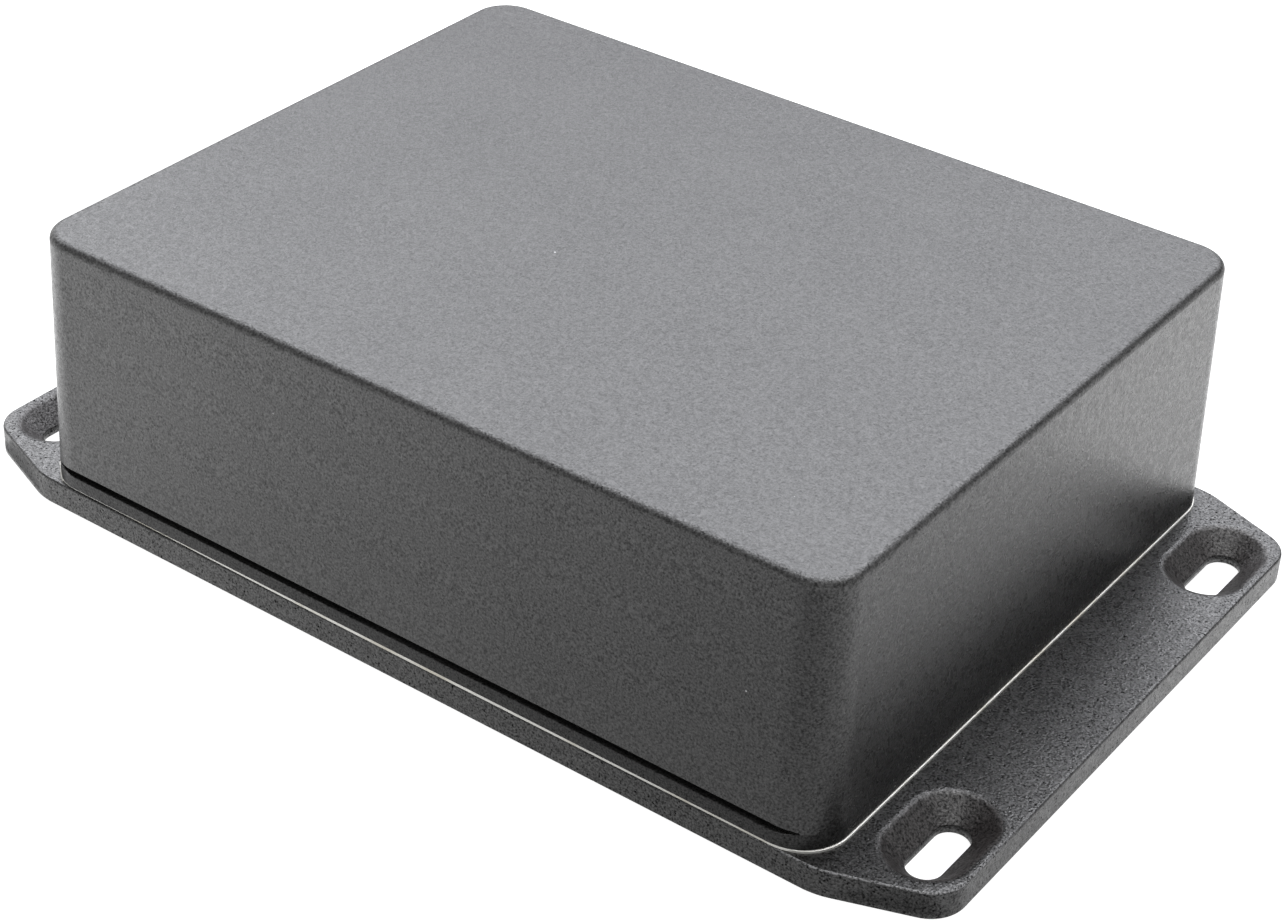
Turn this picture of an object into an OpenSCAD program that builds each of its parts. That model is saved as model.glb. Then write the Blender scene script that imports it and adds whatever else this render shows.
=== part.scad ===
// Die cast aluminium enclosure that stands on a flanged mounting lid.
// The frame has +X along the flanges, +Y across, +Z up, with its origin at the centre of the lid's underside.

/* [Box] */
// Length of the box at its open rim, along X
body_w = 120; // [105:1:150]
// Depth of the box at its open rim, along Y
body_d = 94.2; // [84:0.2:120]
// Height of the box from its rim to its top face
body_h = 35.2; // [28:0.2:44]
// Corner radius of the box at its rim, seen from above
rim_corner_r = 6.4; // [6:0.1:7.6]
// Distance by which each wall leans inwards between the rim and the round of its top edge
wall_lean = 1.15; // [0.6:0.05:1.4]
// Thickness of the walls and of the roof
wall_t = 3; // [2.8:0.1:3.4]
// Round along the outer top edge
top_edge_r = 1; // [0.3:0.1:1.2]
// Corner radius of the cavity at the rim
cavity_corner_r = 4.5; // [4.2:0.1:5]
// Distance by which the cavity's walls lean inwards between the rim and the round of the roof
cavity_lean = 1; // [0.6:0.05:1.25]
// Round along the inner edge of the roof
roof_fillet_r = 2; // [0.8:0.1:2.2]
// Diameter of the four screw posts in the corners
post_d = 8.4; // [7.6:0.1:8.6]

/* [Relief groove of the long walls] */
// Height of the rim band that is left below the groove
groove_z = 1.75; // [1.4:0.05:2.6]
// Height of the groove
groove_h = 0.9; // [0.6:0.05:1.4]
// Depth of the groove's flat floor, measured from the rim's outline
groove_depth = 1.6; // [1:0.1:1.8]

/* [Lid] */
// Thickness of the lid and its flanges
lid_t = 3.7; // [3.2:0.1:5]
// Round along the upper edge of the lid
lid_edge_r = 0.3; // [0.2:0.1:0.8]
// Radius of the bend between a long side and a flange's splayed side
bend_r = 10; // [6:0.5:14]
// Distance from the end of the box back to the start of the bend
bend_inset = 1.8; // [1:0.1:2.2]
// Length of the straight stretch of a splayed side
side_len = 9.625; // [9:0.125:13]
// Radius of the flange's outer corners
flange_corner_r = 5; // [3.5:0.1:6]
// Height of the locating ribs inside the rim
rib_h = 2.4; // [1.5:0.1:3.5]
// Thickness of the locating ribs at their foot
rib_t = 2; // [1.5:0.1:2.6]
// Gap between the locating ribs and the walls
rib_clear = 0.3; // [0.2:0.05:0.6]

/* [Mounting slots] */
// Width of each slot
slot_w = 4.4; // [3.4:0.1:4.8]
// Length of each slot from end to end
slot_len = 10.3; // [8:0.1:12]
// Distance between the two slots of a flange, centre to centre
slot_pitch = 67.2; // [56:0.1:70]
// Distance from the end of the box to the slots' centre line
slot_offset = 7.6; // [6.8:0.1:7.8]
// Width of the dish round each slot, at the flange's top face
dish_w = 10.4; // [7:0.1:11]
// Depth of the dish
dish_depth = 2.6; // [1.2:0.05:2.8]

/* [Seal] */
// Thickness of the pressed seal between the rim and the lid
seal_t = 0.4; // [0.3:0.05:0.8]

/* [Screws] */
// Distance from the rim's outer faces to the screws' axes
screw_inset = 6.4; // [6.2:0.1:7]
// Outside diameter of the screws' thread
screw_d = 3.5; // [2.9:0.1:4]
// Diameter of the countersunk heads
head_d = 6.8; // [6:0.1:7.6]
// Depth by which the heads lie below the lid's underside
head_sink = 0.15; // [0.05:0.05:0.4]
// Length of the screws over the head
screw_len = 12; // [9:0.5:13]
// Radial gap between a screw and its hole in the lid
hole_clear = 0.2; // [0.1:0.05:0.4]
// Radial gap between a screw and its hole in a post
thread_clear = 0.05; // [0.02:0.01:0.1]
// Room left beyond the tip of a screw in its post
tip_room = 2; // [1:0.5:4]

/* [Hidden] */
$fn = 72;
over = 1;
rim_z = lid_t + seal_t;
cavity_w = body_w - 2 * wall_t;
cavity_d = body_d - 2 * wall_t;
cavity_h = body_h - wall_t;
screw_x = body_w / 2 - screw_inset;
screw_y = body_d / 2 - screw_inset;
screw_r = screw_d / 2;
head_r = head_d / 2;
tip_z = head_sink + screw_len;
tip_chamfer = 0.5;
core_chamfer = 0.6;
recess_w = 1;
recess_len = 3.8;
recess_depth = 1.3;
slot_x = body_w / 2 + slot_offset;
slot_y = slot_pitch / 2;
rib_taper = 0.4;
rib_end_gap = 1;

// Outward direction of a flange's splayed side in the +X +Y quarter, a slope of 44 in 117, and the way along it
side_normal = [0.352, 0.936];
side_run = [0.936, -0.352];
side_angle = atan2(side_normal.y, side_normal.x);
end_normal = [1, 0];
long_normal = [0, 1];

// Centres of the two arcs of the lid's outline in the same quarter
bend_centre = [body_w / 2 - bend_inset, body_d / 2 - bend_r];
tip_centre = bend_centre + (bend_r - flange_corner_r) * side_normal + side_len * side_run;

coat_colour = [0.16, 0.16, 0.17];
seal_colour = [0.93, 0.92, 0.87];
screw_colour = [0.62, 0.63, 0.65];

// Corners of one quarter of the lid's outline, with a notch to the centre of each arc
function quarter_points(inset) = [
    bend_centre + (bend_r - inset) * long_normal,
    bend_centre,
    bend_centre + (bend_r - inset) * side_normal,
    tip_centre + (flange_corner_r - inset) * side_normal,
    tip_centre,
    tip_centre + (flange_corner_r - inset) * end_normal
];

// The same points of a quarter that is mirrored by the signs sx and sy, in order or backwards
function quarter(inset, sx, sy, backwards) =
    let (points = quarter_points(inset), last = len(points) - 1)
    [for (i = [0:last]) let (p = points[backwards ? last - i : i]) [sx * p.x, sy * p.y]];

// Repeats a shape of the +X +Y quarter in all four quarters
module quarters() {
    for (mx = [0, 1], my = [0, 1])
        mirror([mx, 0, 0])
            mirror([0, my, 0])
                children();
}

module quarter_disc(r) {
    intersection() {
        circle(r);
        square(r);
    }
}

module rounded_rectangle(w, d, r) {
    square([w - 2 * r, d], center = true);
    square([w, d - 2 * r], center = true);
    quarters()
        translate([w / 2 - r, d / 2 - r])
            quarter_disc(r);
}

// Half section of a leaning wall with a rounded upper edge: reach is its distance from the axis at the foot
module wall_section(reach, h, lean, edge_r) {
    arc_x = reach - lean - edge_r;
    arc_y = h - edge_r;
    polygon([[0, 0], [reach, 0], [reach - lean, arc_y], [arc_x, arc_y], [arc_x, h], [0, h]]);
    translate([arc_x, arc_y])
        quarter_disc(edge_r);
}

// Section across two opposite walls whose corner axes lie at a distance from the middle
module full_section(axis, reach, h, lean, edge_r) {
    translate([-axis, 0])
        square([2 * axis, h]);
    for (side = [0, 1])
        mirror([side, 0, 0])
            translate([axis, 0])
                wall_section(reach, h, lean, edge_r);
}

// Block with four leaning walls, conical corners and a rounded upper edge
module drafted_block(w, d, h, corner_r, lean, edge_r) {
    axis_x = w / 2 - corner_r;
    axis_y = d / 2 - corner_r;
    rotate([90, 0, 0])
        linear_extrude(2 * axis_y, center = true)
            full_section(axis_x, corner_r, h, lean, edge_r);
    rotate([90, 0, 90])
        linear_extrude(2 * axis_x, center = true)
            full_section(axis_y, corner_r, h, lean, edge_r);
    quarters()
        translate([axis_x, axis_y, 0])
            rotate_extrude(angle = 90)
                wall_section(corner_r, h, lean, edge_r);
}

// Space inside the box, carried on below the rim
module cavity() {
    drafted_block(cavity_w, cavity_d, cavity_h, cavity_corner_r, cavity_lean, roof_fillet_r);
    translate([0, 0, -over])
        linear_extrude(over)
            rounded_rectangle(cavity_w, cavity_d, cavity_corner_r);
}

// Blind cored hole with a chamfered end, from the rim upwards
module post_hole() {
    r = screw_r + thread_clear;
    depth = tip_z - rim_z + tip_room;
    rotate_extrude()
        polygon([[0, -over], [r, -over], [r, depth - core_chamfer], [r - core_chamfer, depth], [0, depth]]);
}

// Straight cut with a flat floor, which dies out in the rounded corners
module relief_groove() {
    translate([-body_w / 2, body_d / 2 - groove_depth, groove_z])
        cube([body_w, groove_depth + over, groove_h]);
}

module box() {
    color(coat_colour)
        translate([0, 0, rim_z])
            difference() {
                union() {
                    difference() {
                        drafted_block(body_w, body_d, body_h, rim_corner_r, wall_lean, top_edge_r);
                        cavity();
                    }
                    quarters()
                        translate([screw_x, screw_y, 0])
                            cylinder(d = post_d, h = body_h - wall_t / 2);
                }
                quarters()
                    translate([screw_x, screw_y, 0])
                        post_hole();
                for (my = [0, 1])
                    mirror([0, my, 0])
                        relief_groove();
            }
}

module seal() {
    color(seal_colour)
        translate([0, 0, lid_t])
            difference() {
                linear_extrude(seal_t)
                    rounded_rectangle(body_w, body_d, rim_corner_r);
                translate([0, 0, -over])
                    linear_extrude(seal_t + 2 * over)
                        rounded_rectangle(cavity_w, cavity_d, cavity_corner_r);
            }
}

// Wedge that spreads from an arc's centre between two outward directions
module wedge(centre, r, from, to) {
    reach = 2 * r;
    polygon([centre, centre + reach * from, centre + reach * (from + to), centre + reach * to]);
}

module sector(centre, r, from, to) {
    intersection() {
        translate(centre)
            circle(r);
        wedge(centre, r, from, to);
    }
}

module lid_outline(inset) {
    polygon(concat(
        quarter(inset, 1, 1, false),
        quarter(inset, 1, -1, true),
        quarter(inset, -1, -1, false),
        quarter(inset, -1, 1, true)
    ));
    quarters() {
        sector(bend_centre, bend_r - inset, side_normal, long_normal);
        sector(tip_centre, flange_corner_r - inset, end_normal, side_normal);
    }
}

// Round along a straight side of the lid that starts at a point and faces outwards at an angle
module side_round(start, angle, length) {
    translate([start.x, start.y, lid_t - lid_edge_r])
        rotate([90, 0, angle])
            linear_extrude(length)
                quarter_disc(lid_edge_r);
}

// Round along an arc of the lid's outline
module corner_round(centre, r, from, to) {
    intersection() {
        translate([centre.x, centre.y, lid_t - lid_edge_r])
            rotate_extrude()
                translate([r - lid_edge_r, 0])
                    quarter_disc(lid_edge_r);
        linear_extrude(lid_t + over)
            wedge(centre, r, from, to);
    }
}

module lid_plate() {
    points = quarter_points(lid_edge_r);
    long_start = points[0];
    side_start = points[2];
    end_start = points[5];
    linear_extrude(lid_t)
        lid_outline(lid_edge_r);
    linear_extrude(lid_t - lid_edge_r)
        lid_outline(0);
    quarters() {
        corner_round(bend_centre, bend_r, side_normal, long_normal);
        side_round(side_start, side_angle, side_len);
        corner_round(tip_centre, flange_corner_r, end_normal, side_normal);
    }
    for (turn = [0, 180])
        rotate([0, 0, turn]) {
            side_round([-long_start.x, long_start.y], 90, 2 * long_start.x);
            side_round(end_start, 0, 2 * end_start.y);
        }
}

// Rib along X whose upright outer face lies on the X axis, with its body on the -Y side
module locating_rib(length) {
    foot_z = lid_t / 2;
    top_z = rim_z + rib_h;
    rotate([90, 0, 90])
        linear_extrude(length, center = true)
            polygon([[0, foot_z], [0, top_z], [rib_taper - rib_t, top_z], [-rib_t, lid_t], [-rib_t, foot_z]]);
}

module locating_ribs() {
    room = post_d / 2 + rib_end_gap;
    for (turn = [0, 180])
        rotate([0, 0, turn]) {
            translate([0, cavity_d / 2 - rib_clear, 0])
                locating_rib(2 * (screw_x - room));
            rotate([0, 0, 90])
                translate([0, cavity_w / 2 - rib_clear, 0])
                    locating_rib(2 * (screw_y - room));
        }
}

// Half section of a mounting slot with its dish, from its long axis outwards
function slot_section() =
    let (
        half_w = slot_w / 2,
        top_z = lid_t + over,
        top_reach = half_w + (dish_w / 2 - half_w) * (dish_depth + over) / dish_depth
    )
    [[0, -over], [half_w, -over], [half_w, lid_t - dish_depth], [top_reach, top_z], [0, top_z]];

module mounting_slot() {
    run = slot_len - slot_w;
    section = slot_section();
    rotate([90, 0, 0])
        linear_extrude(run, center = true) {
            polygon(section);
            mirror([1, 0, 0])
                polygon(section);
        }
    for (turn = [0, 180])
        rotate([0, 0, turn])
            translate([0, run / 2, 0])
                rotate_extrude(angle = 180)
                    polygon(section);
}

// Countersunk clearance hole, from the underside upwards
module screw_hole() {
    r = screw_r + hole_clear;
    mouth_r = head_r + head_sink;
    rotate_extrude()
        polygon([[0, -over], [mouth_r + over, -over], [r, mouth_r - r], [r, lid_t + over], [0, lid_t + over]]);
}

module flanged_lid() {
    color(coat_colour)
        difference() {
            union() {
                lid_plate();
                locating_ribs();
            }
            quarters() {
                translate([slot_x, slot_y, 0])
                    mounting_slot();
                translate([screw_x, screw_y, 0])
                    screw_hole();
            }
        }
}

// Countersunk screw with a cross recess, head down
module lid_screw() {
    difference() {
        rotate_extrude()
            polygon([
                [0, head_sink],
                [head_r, head_sink],
                [screw_r, head_sink + head_r - screw_r],
                [screw_r, tip_z - tip_chamfer],
                [screw_r - tip_chamfer, tip_z],
                [0, tip_z]
            ]);
        for (turn = [0, 90])
            rotate([0, 0, turn])
                translate([0, 0, head_sink])
                    cube([recess_len, recess_w, 2 * recess_depth], center = true);
    }
}

module lid_screws() {
    color(screw_colour)
        quarters()
            translate([screw_x, screw_y, 0])
                lid_screw();
}

box();
seal();
flanged_lid();
lid_screws();
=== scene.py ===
"""Looks of a die cast aluminium enclosure that stands on a flanged mounting lid.

Lengths are in metres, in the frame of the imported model: +X runs along the flanges, +Y across, +Z up, and the
origin is the centre of the lid's underside.
"""

import logging
import math
from abc import ABC, abstractmethod
from dataclasses import dataclass, field
from enum import Enum, IntEnum
from typing import Any, Iterable

import bmesh
import bpy
from bmesh.types import BMEdge, BMesh, BMFace, BMVert
from bpy.types import Material, Node, NodeSocket, Object
from mathutils import Matrix, Vector


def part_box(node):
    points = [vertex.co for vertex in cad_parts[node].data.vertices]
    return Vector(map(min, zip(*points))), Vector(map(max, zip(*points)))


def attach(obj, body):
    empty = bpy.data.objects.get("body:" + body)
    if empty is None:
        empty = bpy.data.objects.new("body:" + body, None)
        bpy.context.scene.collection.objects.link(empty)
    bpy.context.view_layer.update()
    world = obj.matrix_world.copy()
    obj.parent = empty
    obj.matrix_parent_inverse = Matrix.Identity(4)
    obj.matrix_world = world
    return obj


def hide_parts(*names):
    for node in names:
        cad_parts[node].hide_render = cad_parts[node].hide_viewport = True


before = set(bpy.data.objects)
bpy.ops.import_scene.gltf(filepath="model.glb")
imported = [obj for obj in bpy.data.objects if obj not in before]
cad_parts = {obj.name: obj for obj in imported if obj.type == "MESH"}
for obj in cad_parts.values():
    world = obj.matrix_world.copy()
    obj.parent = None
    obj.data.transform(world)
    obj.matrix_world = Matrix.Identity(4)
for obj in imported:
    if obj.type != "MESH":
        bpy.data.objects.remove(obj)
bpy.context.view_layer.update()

Colour = tuple[float, float, float]
Place = tuple[float, float, float]
Point = tuple[float, float]
Span = tuple[float, float]

MM = 0.001
WELD = 0.001 * MM
LEVEL_NORMAL = 0.5
HOLE_STEPS = 48
CORNERS = tuple((sx, sy) for sx in (-1, 1) for sy in (-1, 1))
WALL = 3 * MM
RIM_CORNER_R = 6.4 * MM
HOLLOW_CORNER_R = 4.5 * MM
SCREW_PLACE: Point = (53.6 * MM, 40.7 * MM)
NOISE_SPAN: Span = (0.35, 0.65)
RISE: Span = (0.0, 1.0)
FALL: Span = (1.0, 0.0)
LOG = logging.getLogger("enclosure")


class Slot(Enum):
    """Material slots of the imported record."""

    BOX = "box_coat"
    LID = "lid_coat"
    SEAL = "seal"
    SCREWS = "screws"


class BoxZone(IntEnum):
    """Zones of the box with a coat of their own, by the material number of their faces."""

    WALL = 0
    RIM_STRIP = 1
    TOP = 2
    TOP_EDGE = 3


class LidZone(IntEnum):
    """Zones of the lid with a coat of their own, by the material number of their faces."""

    PLATE = 0
    WORN_EDGE = 1
    DISH = 2


class Falloff(Enum):
    """Ways in which a value changes between two limits in a material."""

    EVEN = "LINEAR"
    SOFT = "SMOOTHSTEP"


# Materials


class NodeSheet:
    """Node tree of one material, with short calls for the nodes that the finishes need."""

    COLOUR_INPUTS = (6, 7)
    COLOUR_OUTPUT = 2

    def __init__(self, name: str) -> None:
        """Starts an empty material.

        Args:
            name: Name of the material.
        """
        self.material = bpy.data.materials.new(name)
        self.material.use_nodes = True
        self.tree = self.material.node_tree
        self.tree.nodes.clear()
        self.place = self.node("ShaderNodeTexCoord").outputs["Object"]

    def node(self, kind: str, inputs: dict[str | int, Any] | None = None, **settings: Any) -> Node:
        """Adds a node.

        Args:
            kind: Blender's name of the node's type.
            inputs: Values or sockets for its inputs, by input name or number.
            settings: Properties of the node itself.

        Returns:
            The new node.
        """
        made = self.tree.nodes.new(kind)
        for key, value in settings.items():
            setattr(made, key, value)
        for key, value in (inputs or {}).items():
            self.feed(made.inputs[key], value)
        return made

    def feed(self, socket: NodeSocket, value: Any) -> None:
        """Links a socket to an input, or sets the input to a constant.

        Args:
            socket: The input.
            value: A socket or a constant.
        """
        if isinstance(value, NodeSocket):
            self.tree.links.new(value, socket)
        else:
            socket.default_value = value

    def noise(self, size: float, detail: float = 2.0, roughness: float = 0.5) -> NodeSocket:
        """Cloudy value, mostly between 0.3 and 0.7, whose blots are of a size in metres."""
        inputs = {"Vector": self.place, "Scale": 1 / size, "Detail": detail, "Roughness": roughness}
        return self.node("ShaderNodeTexNoise", inputs).outputs["Fac"]

    def cells(self, size: float) -> Node:
        """Cell pattern of a pitch in metres, with its Distance and Color outputs."""
        return self.node("ShaderNodeTexVoronoi", {"Vector": self.place, "Scale": 1 / size, "Randomness": 1.0})

    def span(self, value: Any, over: Span, to: Span, falloff: Falloff = Falloff.EVEN) -> NodeSocket:
        """Maps a value from one range to another, held at the ends.

        Args:
            value: Socket that is mapped.
            over: Range of the value.
            to: Results at the two ends of that range.
            falloff: How the result changes in between.

        Returns:
            The mapped value.
        """
        inputs = {"Value": value, "From Min": over[0], "From Max": over[1], "To Min": to[0], "To Max": to[1]}
        made = self.node("ShaderNodeMapRange", inputs, interpolation_type=falloff.value)
        return made.outputs["Result"]

    def distance(self, point: Place) -> NodeSocket:
        """Distance in metres from a point of the object."""
        made = self.node("ShaderNodeVectorMath", {0: self.place, 1: point}, operation="DISTANCE")
        return made.outputs["Value"]

    def math(self, operation: str, first: Any, second: Any) -> NodeSocket:
        """Combines two values by one of Blender's math operations."""
        return self.node("ShaderNodeMath", {0: first, 1: second}, operation=operation).outputs["Value"]

    def mix(self, factor: Any, first: Any, second: Any) -> NodeSocket:
        """Mixes two colours, given as sockets or as linear RGB.

        Args:
            factor: Share of the second colour.
            first: Colour at a share of 0.
            second: Colour at a share of 1.

        Returns:
            The mixed colour.
        """
        made = self.node("ShaderNodeMix", {"Factor": factor}, data_type="RGBA")
        for number, value in zip(self.COLOUR_INPUTS, (first, second)):
            self.feed(made.inputs[number], value if isinstance(value, NodeSocket) else (*value, 1.0))
        return made.outputs[self.COLOUR_OUTPUT]

    def bump(self, height: Any, depth: float) -> NodeSocket:
        """Normal of a surface whose height runs over a depth in metres."""
        made = self.node("ShaderNodeBump", {"Height": height, "Distance": depth, "Strength": 1.0})
        return made.outputs["Normal"]

    def glow(self, strength: Any) -> NodeSocket:
        """Shader that gives white light of a strength."""
        return self.node("ShaderNodeEmission", {"Strength": strength}).outputs["Emission"]

    def blend(self, factor: Any, first: NodeSocket, second: NodeSocket) -> NodeSocket:
        """Mixes two shaders by the share of the second."""
        return self.node("ShaderNodeMixShader", {0: factor, 1: first, 2: second}).outputs["Shader"]

    def surface(self, **inputs: Any) -> Material:
        """Ends the sheet with a principled surface.

        Args:
            inputs: Values or sockets for the shader, with underscores for the spaces in its input names.

        Returns:
            The finished material.
        """
        named = {key.replace("_", " "): value for key, value in inputs.items()}
        shader = self.node("ShaderNodeBsdfPrincipled", named)
        self.node("ShaderNodeOutputMaterial", {"Surface": shader.outputs["BSDF"]})
        return self.material


@dataclass(frozen=True)
class PowderCoat:
    """Dark grey powder coat with a fine sandy grain, small pits, a few pale flecks and, where asked, pale
    patches that are partly wear and partly a painted highlight.
    """

    name: str
    body: Colour = (0.004, 0.0039, 0.0038)
    pale: Colour = (0.031, 0.0305, 0.030)
    pit: Colour = (0.003, 0.003, 0.003)
    fleck_and_highlight: Colour = (0.55, 0.55, 0.56)
    grain: float = 0.28 * MM
    grain_bite: float = 0.65
    peel: float = 0.8 * MM
    cloud: float = 14 * MM
    cloud_share: float = 0.25
    shade_span: Span = (0.46, 0.80)
    pit_pitch: float = 0.62 * MM
    pit_choice: Span = (0.25, 0.95)
    pit_edge: Span = (0.10, 0.30)
    pit_depth: float = 0.35
    fleck_pitch: float = 4.2 * MM
    fleck_choice: float = 0.80
    fleck_edge: Span = (0.018, 0.034)
    relief: float = 0.06 * MM
    roughness: Span = (0.29, 0.41)
    gloss_span: Span = (0.30, 0.66)
    gloss: Span = (0.31, 1.01)
    wear_and_highlight: float = 0.0
    wear_and_highlight_place: Place = (0.0, 0.0, 0.0)
    wear_and_highlight_reach: Span = (8 * MM, 22 * MM)
    wear_and_highlight_left: float = 0.1
    wear_and_highlight_blot: float = 0.3 * MM
    wear_and_highlight_blot_span: Span = (0.40, 0.56)

    def material(self) -> Material:
        """Builds the coat's material.

        Returns:
            The material.
        """
        sheet = NodeSheet(self.name)
        grain = sheet.noise(self.grain, roughness=self.grain_bite)
        clouded = sheet.math("ADD", grain, sheet.math("MULTIPLY", sheet.noise(self.cloud), self.cloud_share))
        pits = self.pits(sheet)
        colour = sheet.mix(sheet.span(clouded, self.shade_span, RISE), self.body, self.pale)
        colour = sheet.mix(pits, colour, self.pit)
        colour = sheet.mix(self.flecks(sheet), colour, self.fleck_and_highlight)
        # Pale patches that are partly worn coat and partly a painted highlight.
        if self.wear_and_highlight > 0:
            colour = sheet.mix(self.wear_and_highlight_mask(sheet), colour, self.fleck_and_highlight)
        height = sheet.math("SUBTRACT", grain, sheet.math("MULTIPLY", pits, self.pit_depth))
        return sheet.surface(
            Base_Color=colour,
            Roughness=sheet.span(sheet.noise(self.peel, detail=1.0), NOISE_SPAN, self.roughness),
            Specular_IOR_Level=sheet.span(height, self.gloss_span, self.gloss),
            Normal=sheet.bump(height, self.relief),
        )

    def pits(self, sheet: NodeSheet) -> NodeSocket:
        """Mask of the pits, some of them deeper than others.

        Args:
            sheet: Sheet of the coat.

        Returns:
            The mask's socket.
        """
        cells = sheet.cells(self.pit_pitch).outputs
        depth = sheet.span(cells["Color"], self.pit_choice, RISE)
        return sheet.math("MULTIPLY", depth, sheet.span(cells["Distance"], self.pit_edge, FALL, Falloff.SOFT))

    def flecks(self, sheet: NodeSheet) -> NodeSocket:
        """Mask of the few pale flecks.

        Args:
            sheet: Sheet of the coat.

        Returns:
            The mask's socket.
        """
        cells = sheet.cells(self.fleck_pitch).outputs
        rare = sheet.math("GREATER_THAN", cells["Color"], self.fleck_choice)
        return sheet.math("MULTIPLY", rare, sheet.span(cells["Distance"], self.fleck_edge, FALL))

    def wear_and_highlight_mask(self, sheet: NodeSheet) -> NodeSocket:
        """Mask of the pale patches, partly rubbed-off coat and partly a painted highlight, most of them near
        the given place.

        Args:
            sheet: Sheet of the coat.

        Returns:
            The mask's socket.
        """
        share = (self.wear_and_highlight, self.wear_and_highlight_left * self.wear_and_highlight)
        most = sheet.span(sheet.distance(self.wear_and_highlight_place), self.wear_and_highlight_reach, share, Falloff.SOFT)
        blots = sheet.span(sheet.noise(self.wear_and_highlight_blot, detail=3.0), self.wear_and_highlight_blot_span, RISE)
        return sheet.math("MULTIPLY", blots, most)


@dataclass(frozen=True)
class PaleSeal:
    """Pale pressed seal with a bright metal filler and faint stains."""

    name: str
    clean: Colour = (0.88, 0.87, 0.83)
    stained: Colour = (0.66, 0.62, 0.52)
    stain: float = 7 * MM
    stain_span: Span = (0.48, 0.68)
    stain_share: Span = (0.0, 0.7)
    filler: float = 0.5
    grain: float = 0.25 * MM
    grain_span: Span = (0.3, 0.7)
    roughness: Span = (0.38, 0.58)
    relief: float = 0.02 * MM

    def material(self) -> Material:
        """Builds the seal's material.

        Returns:
            The material.
        """
        sheet = NodeSheet(self.name)
        grain = sheet.noise(self.grain)
        clouds = sheet.noise(self.stain, detail=3.0)
        stain = sheet.span(clouds, self.stain_span, self.stain_share, Falloff.SOFT)
        return sheet.surface(
            Base_Color=sheet.mix(stain, self.clean, self.stained),
            Metallic=self.filler,
            Roughness=sheet.span(grain, self.grain_span, self.roughness),
            Normal=sheet.bump(grain, self.relief),
        )


@dataclass(frozen=True)
class PlatedSteel:
    """Zinc plated steel, clouded and finely grained."""

    name: str
    bright: Colour = (0.56, 0.56, 0.58)
    dull: Colour = (0.38, 0.38, 0.40)
    grain: float = 0.3 * MM
    cloud: float = 2.4 * MM
    roughness: Span = (0.28, 0.42)
    relief: float = 0.01 * MM

    def material(self) -> Material:
        """Builds the steel's material.

        Returns:
            The material.
        """
        sheet = NodeSheet(self.name)
        cloud = sheet.noise(self.cloud, detail=3.0)
        return sheet.surface(
            Base_Color=sheet.mix(sheet.span(cloud, NOISE_SPAN, RISE), self.bright, self.dull),
            Metallic=1.0,
            Roughness=sheet.span(cloud, NOISE_SPAN, self.roughness),
            Normal=sheet.bump(sheet.noise(self.grain), self.relief),
        )


# Mesh work


def made_parts(result: dict[str, Any], kind: type) -> list[Any]:
    """Vertices or edges in what an extrusion or a spin returns."""
    return [item for item in result.get("geom") or result["geom_last"] if isinstance(item, kind)]


def level_edges(bm: BMesh, z: float) -> list[BMEdge]:
    """Edges that lie wholly at one height."""
    return [edge for edge in bm.edges if all(abs(vert.co.z - z) < WELD for vert in edge.verts)]


def open_edges(bm: BMesh, z: float) -> list[BMEdge]:
    """Open edges that lie wholly at one height."""
    return [edge for edge in level_edges(bm, z) if len(edge.link_faces) < 2]


def corner_centre(size: Point, corner_r: float) -> Vector:
    """Centre of the round corner of a rectangle about the origin, in its first quarter."""
    return Vector((size[0] / 2 - corner_r, size[1] / 2 - corner_r))


def held_within(place: Vector, limit: Vector) -> Vector:
    """Nearest point to a place in a rectangle about the origin, by the rectangle's corner."""
    return Vector([max(-most, min(most, value)) for value, most in zip(place.xy, limit)])


def round_edges(bm: BMesh, edges: list[BMEdge], radius: float, segments: int) -> list[BMFace]:
    """Rounds edges.

    Args:
        bm: Mesh that is worked on.
        edges: Edges to round.
        radius: Distance from the edge at which the round starts.
        segments: Number of faces across the round.

    Returns:
        The faces of the round.
    """
    result = bmesh.ops.bevel(
        bm, geom=edges, offset=radius, offset_type="OFFSET", segments=segments, profile=0.5,
        affect="EDGES", clamp_overlap=False, material=-1,
    )
    return result["faces"]


def fill_flat(bm: BMesh, z: float, up: bool) -> None:
    """Fills the flat face between all open loops at one height, looking up or down."""
    normal = (0.0, 0.0, 1.0 if up else -1.0)
    bmesh.ops.triangle_fill(bm, use_beauty=True, use_dissolve=False, edges=open_edges(bm, z), normal=normal)


def cut_level(bm: BMesh, z: float) -> None:
    """Cuts all faces of a mesh at one height."""
    everything = bm.verts[:] + bm.edges[:] + bm.faces[:]
    bmesh.ops.bisect_plane(bm, geom=everything, dist=WELD, plane_co=(0, 0, z), plane_no=(0, 0, 1))


def closed_loop(bm: BMesh, places: Iterable[Vector]) -> tuple[list[BMVert], list[BMEdge]]:
    """Closed loop of edges.

    Args:
        bm: Mesh that is worked on.
        places: Corners of the loop in order.

    Returns:
        Its vertices and its edges.
    """
    ring = [bm.verts.new(place) for place in places]
    return ring, [bm.edges.new(pair) for pair in zip(ring, ring[1:] + ring[:1])]


def swept_bar(
    bm: BMesh, section: Iterable[Vector], hub: Vector, angle: float, steps: int, climb: float = 0.0
) -> list[BMVert]:
    """Closed bar whose section is swept about an upright axis.

    Args:
        bm: Mesh that is worked on.
        section: Corners of the section at its first place.
        hub: Point on the axis.
        angle: Angle of the sweep, counterclockwise from above.
        steps: Number of stretches along the bar.
        climb: Rise in each stretch.

    Returns:
        The bar's vertices.
    """
    before = set(bm.verts)
    ring, edges = closed_loop(bm, section)
    bmesh.ops.contextual_create(bm, geom=edges)
    result = bmesh.ops.spin(
        bm, geom=edges + ring, cent=hub, axis=(0, 0, 1), dvec=(0, 0, climb),
        angle=angle, steps=steps, use_merge=False,
    )
    bmesh.ops.contextual_create(bm, geom=made_parts(result, BMEdge))
    return [vert for vert in bm.verts if vert not in before]


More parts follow.
